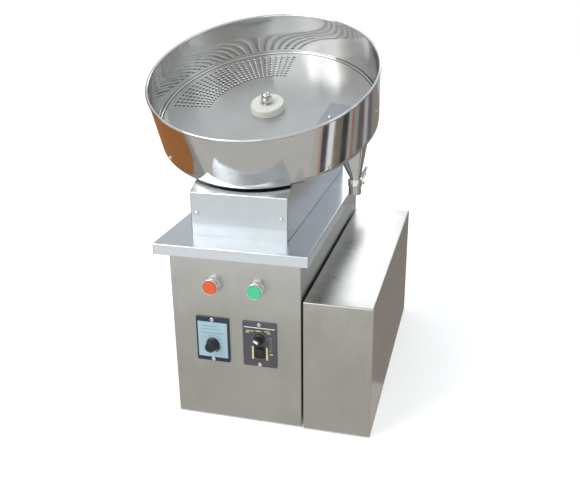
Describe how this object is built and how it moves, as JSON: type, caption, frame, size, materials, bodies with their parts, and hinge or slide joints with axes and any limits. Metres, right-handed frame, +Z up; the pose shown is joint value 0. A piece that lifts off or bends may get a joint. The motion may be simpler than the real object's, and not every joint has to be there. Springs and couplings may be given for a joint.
{
  "type": "disc tablet counting machine",
  "caption": "Tablet counting machine: tilted polished bowl with a turning drilled disc and a side funnel, on a sloping riser and steel cabinet with knobs, push buttons and a side box.",
  "frame": {"origin": "middle of the whole machine's footprint box, on the surface that the feet stand on", "axes": "+X to the operator's right, +Y towards the back, +Z up"},
  "size_m": [0.4435, 0.572, 0.675],
  "materials": {
    "satin_steel": "satin brushed sheet",
    "plate_steel": "fine brushed sheet, bluish reflections",
    "polished_steel": "mirror polished sheet",
    "disc_steel": "turned and polished",
    "bright_steel": "bright screws and nuts",
    "shaft_steel": "ground steel",
    "frame_paint": "grey paint on the inner frame",
    "motor_paint": "dark machine paint",
    "gearbox_alloy": "cast and machined",
    "nylon": "off-white nylon",
    "rubber": "black rubber",
    "black_plastic": "moulded black plastic",
    "grey_plastic": "moulded grey plastic",
    "red_plastic": "orange-red cap",
    "green_plastic": "green cap",
    "light_face": "pale face in a dark blue frame",
    "dark_face": "charcoal face",
    "brush_bristle": "nylon bristle strip"
  },
  "bodies": {
    "frame": {"back_panel": "satin_steel", "back_screws": "bright_steel", "base_plate": "satin_steel", "bearing_housing": "gearbox_alloy", "bowl_floor": "disc_steel", "bowl_wall": "polished_steel", "button_nuts": "grey_plastic", "cabinet_feet": "rubber", "cabinet_shell": "satin_steel", "cable_gland": "black_plastic", "contact_blocks": "black_plastic", "contactor": "grey_plastic", "control_units": "grey_plastic", "discharge_funnel": "polished_steel", "discharge_shield": "polished_steel", "frame_bolts": "bright_steel", "gear_motor": "motor_paint", "gearbox": "gearbox_alloy", "guard_ring": "polished_steel", "housing_screws": "bright_steel", "left_face_plate": "light_face", "lower_bearing": "shaft_steel", "motor_standoffs": "shaft_steel", "nozzle_screw": "bright_steel", "outlet_nozzle": "polished_steel", "panel_screws": "bright_steel", "right_face_plate": "dark_face", "riser_brackets": "satin_steel", "riser_cover": "plate_steel", "riser_screws": "bright_steel", "rocker_frame": "black_plastic", "rubber_mounts": "rubber", "shield_screws": "bright_steel", "side_box": "satin_steel", "side_box_base": "satin_steel", "side_box_feet": "rubber", "start_button_bezel": "bright_steel", "stop_button_bezel": "bright_steel", "tablet_brush": "brush_bristle", "tie_bolts": "bright_steel", "tie_spacers": "shaft_steel", "tilt_frame": "frame_paint", "top_plate": "plate_steel", "upper_bearing": "shaft_steel", "vibrator_caps": "gearbox_alloy", "vibrator_housing": "motor_paint", "wall_screws": "bright_steel"},
    "disc_rotor": {"counting_disc": "disc_steel", "disc_hub": "nylon", "hub_washer": "bright_steel", "hub_nut": "bright_steel", "drive_shaft": "shaft_steel", "shaft_coupling": "gearbox_alloy", "output_shaft": "shaft_steel"},
    "vibrator_rotor": {"vibrator_rotor": "shaft_steel"},
    "stop_cap": {"stop_button_cap": "red_plastic"},
    "start_cap": {"start_button_cap": "green_plastic"},
    "left_knob": {"left_knob": "black_plastic"},
    "right_knob": {"right_knob": "black_plastic"},
    "rocker": {"rocker": "black_plastic"}
  },
  "joints": [
    {"name": "disc_spin", "type": "hinge", "parent": "frame", "child": "disc_rotor", "pos_m": [-0.01475, -0.04377, 0.51989], "axis": [0, -0.3987, 0.9171], "continuous": true},
    {"name": "vibrator_spin", "type": "hinge", "parent": "frame", "child": "vibrator_rotor", "pos_m": [-0.01475, 0.07194, 0.43935], "axis": [1, 0, 0], "continuous": true},
    {"name": "stop_press", "type": "slide", "parent": "frame", "child": "stop_cap", "axis": [0, 1, 0], "range_m": [0, 0.004], "stiffness_N_per_m": 900, "springref_m": -0.001},
    {"name": "start_press", "type": "slide", "parent": "frame", "child": "start_cap", "axis": [0, 1, 0], "range_m": [0, 0.004], "stiffness_N_per_m": 900, "springref_m": -0.001},
    {"name": "left_knob_turn", "type": "hinge", "parent": "frame", "child": "left_knob", "pos_m": [-0.05725, -0.265, 0.149], "axis": [0, -1, 0], "range_deg": [-90, 190]},
    {"name": "right_knob_turn", "type": "hinge", "parent": "frame", "child": "right_knob", "pos_m": [0.02775, -0.265, 0.1685], "axis": [0, -1, 0], "range_deg": [-190, 90]},
    {"name": "rocker_tilt", "type": "hinge", "parent": "frame", "child": "rocker", "pos_m": [0.02775, -0.266, 0.1435], "axis": [1, 0, 0], "range_deg": [-20, 0]}
  ]
}
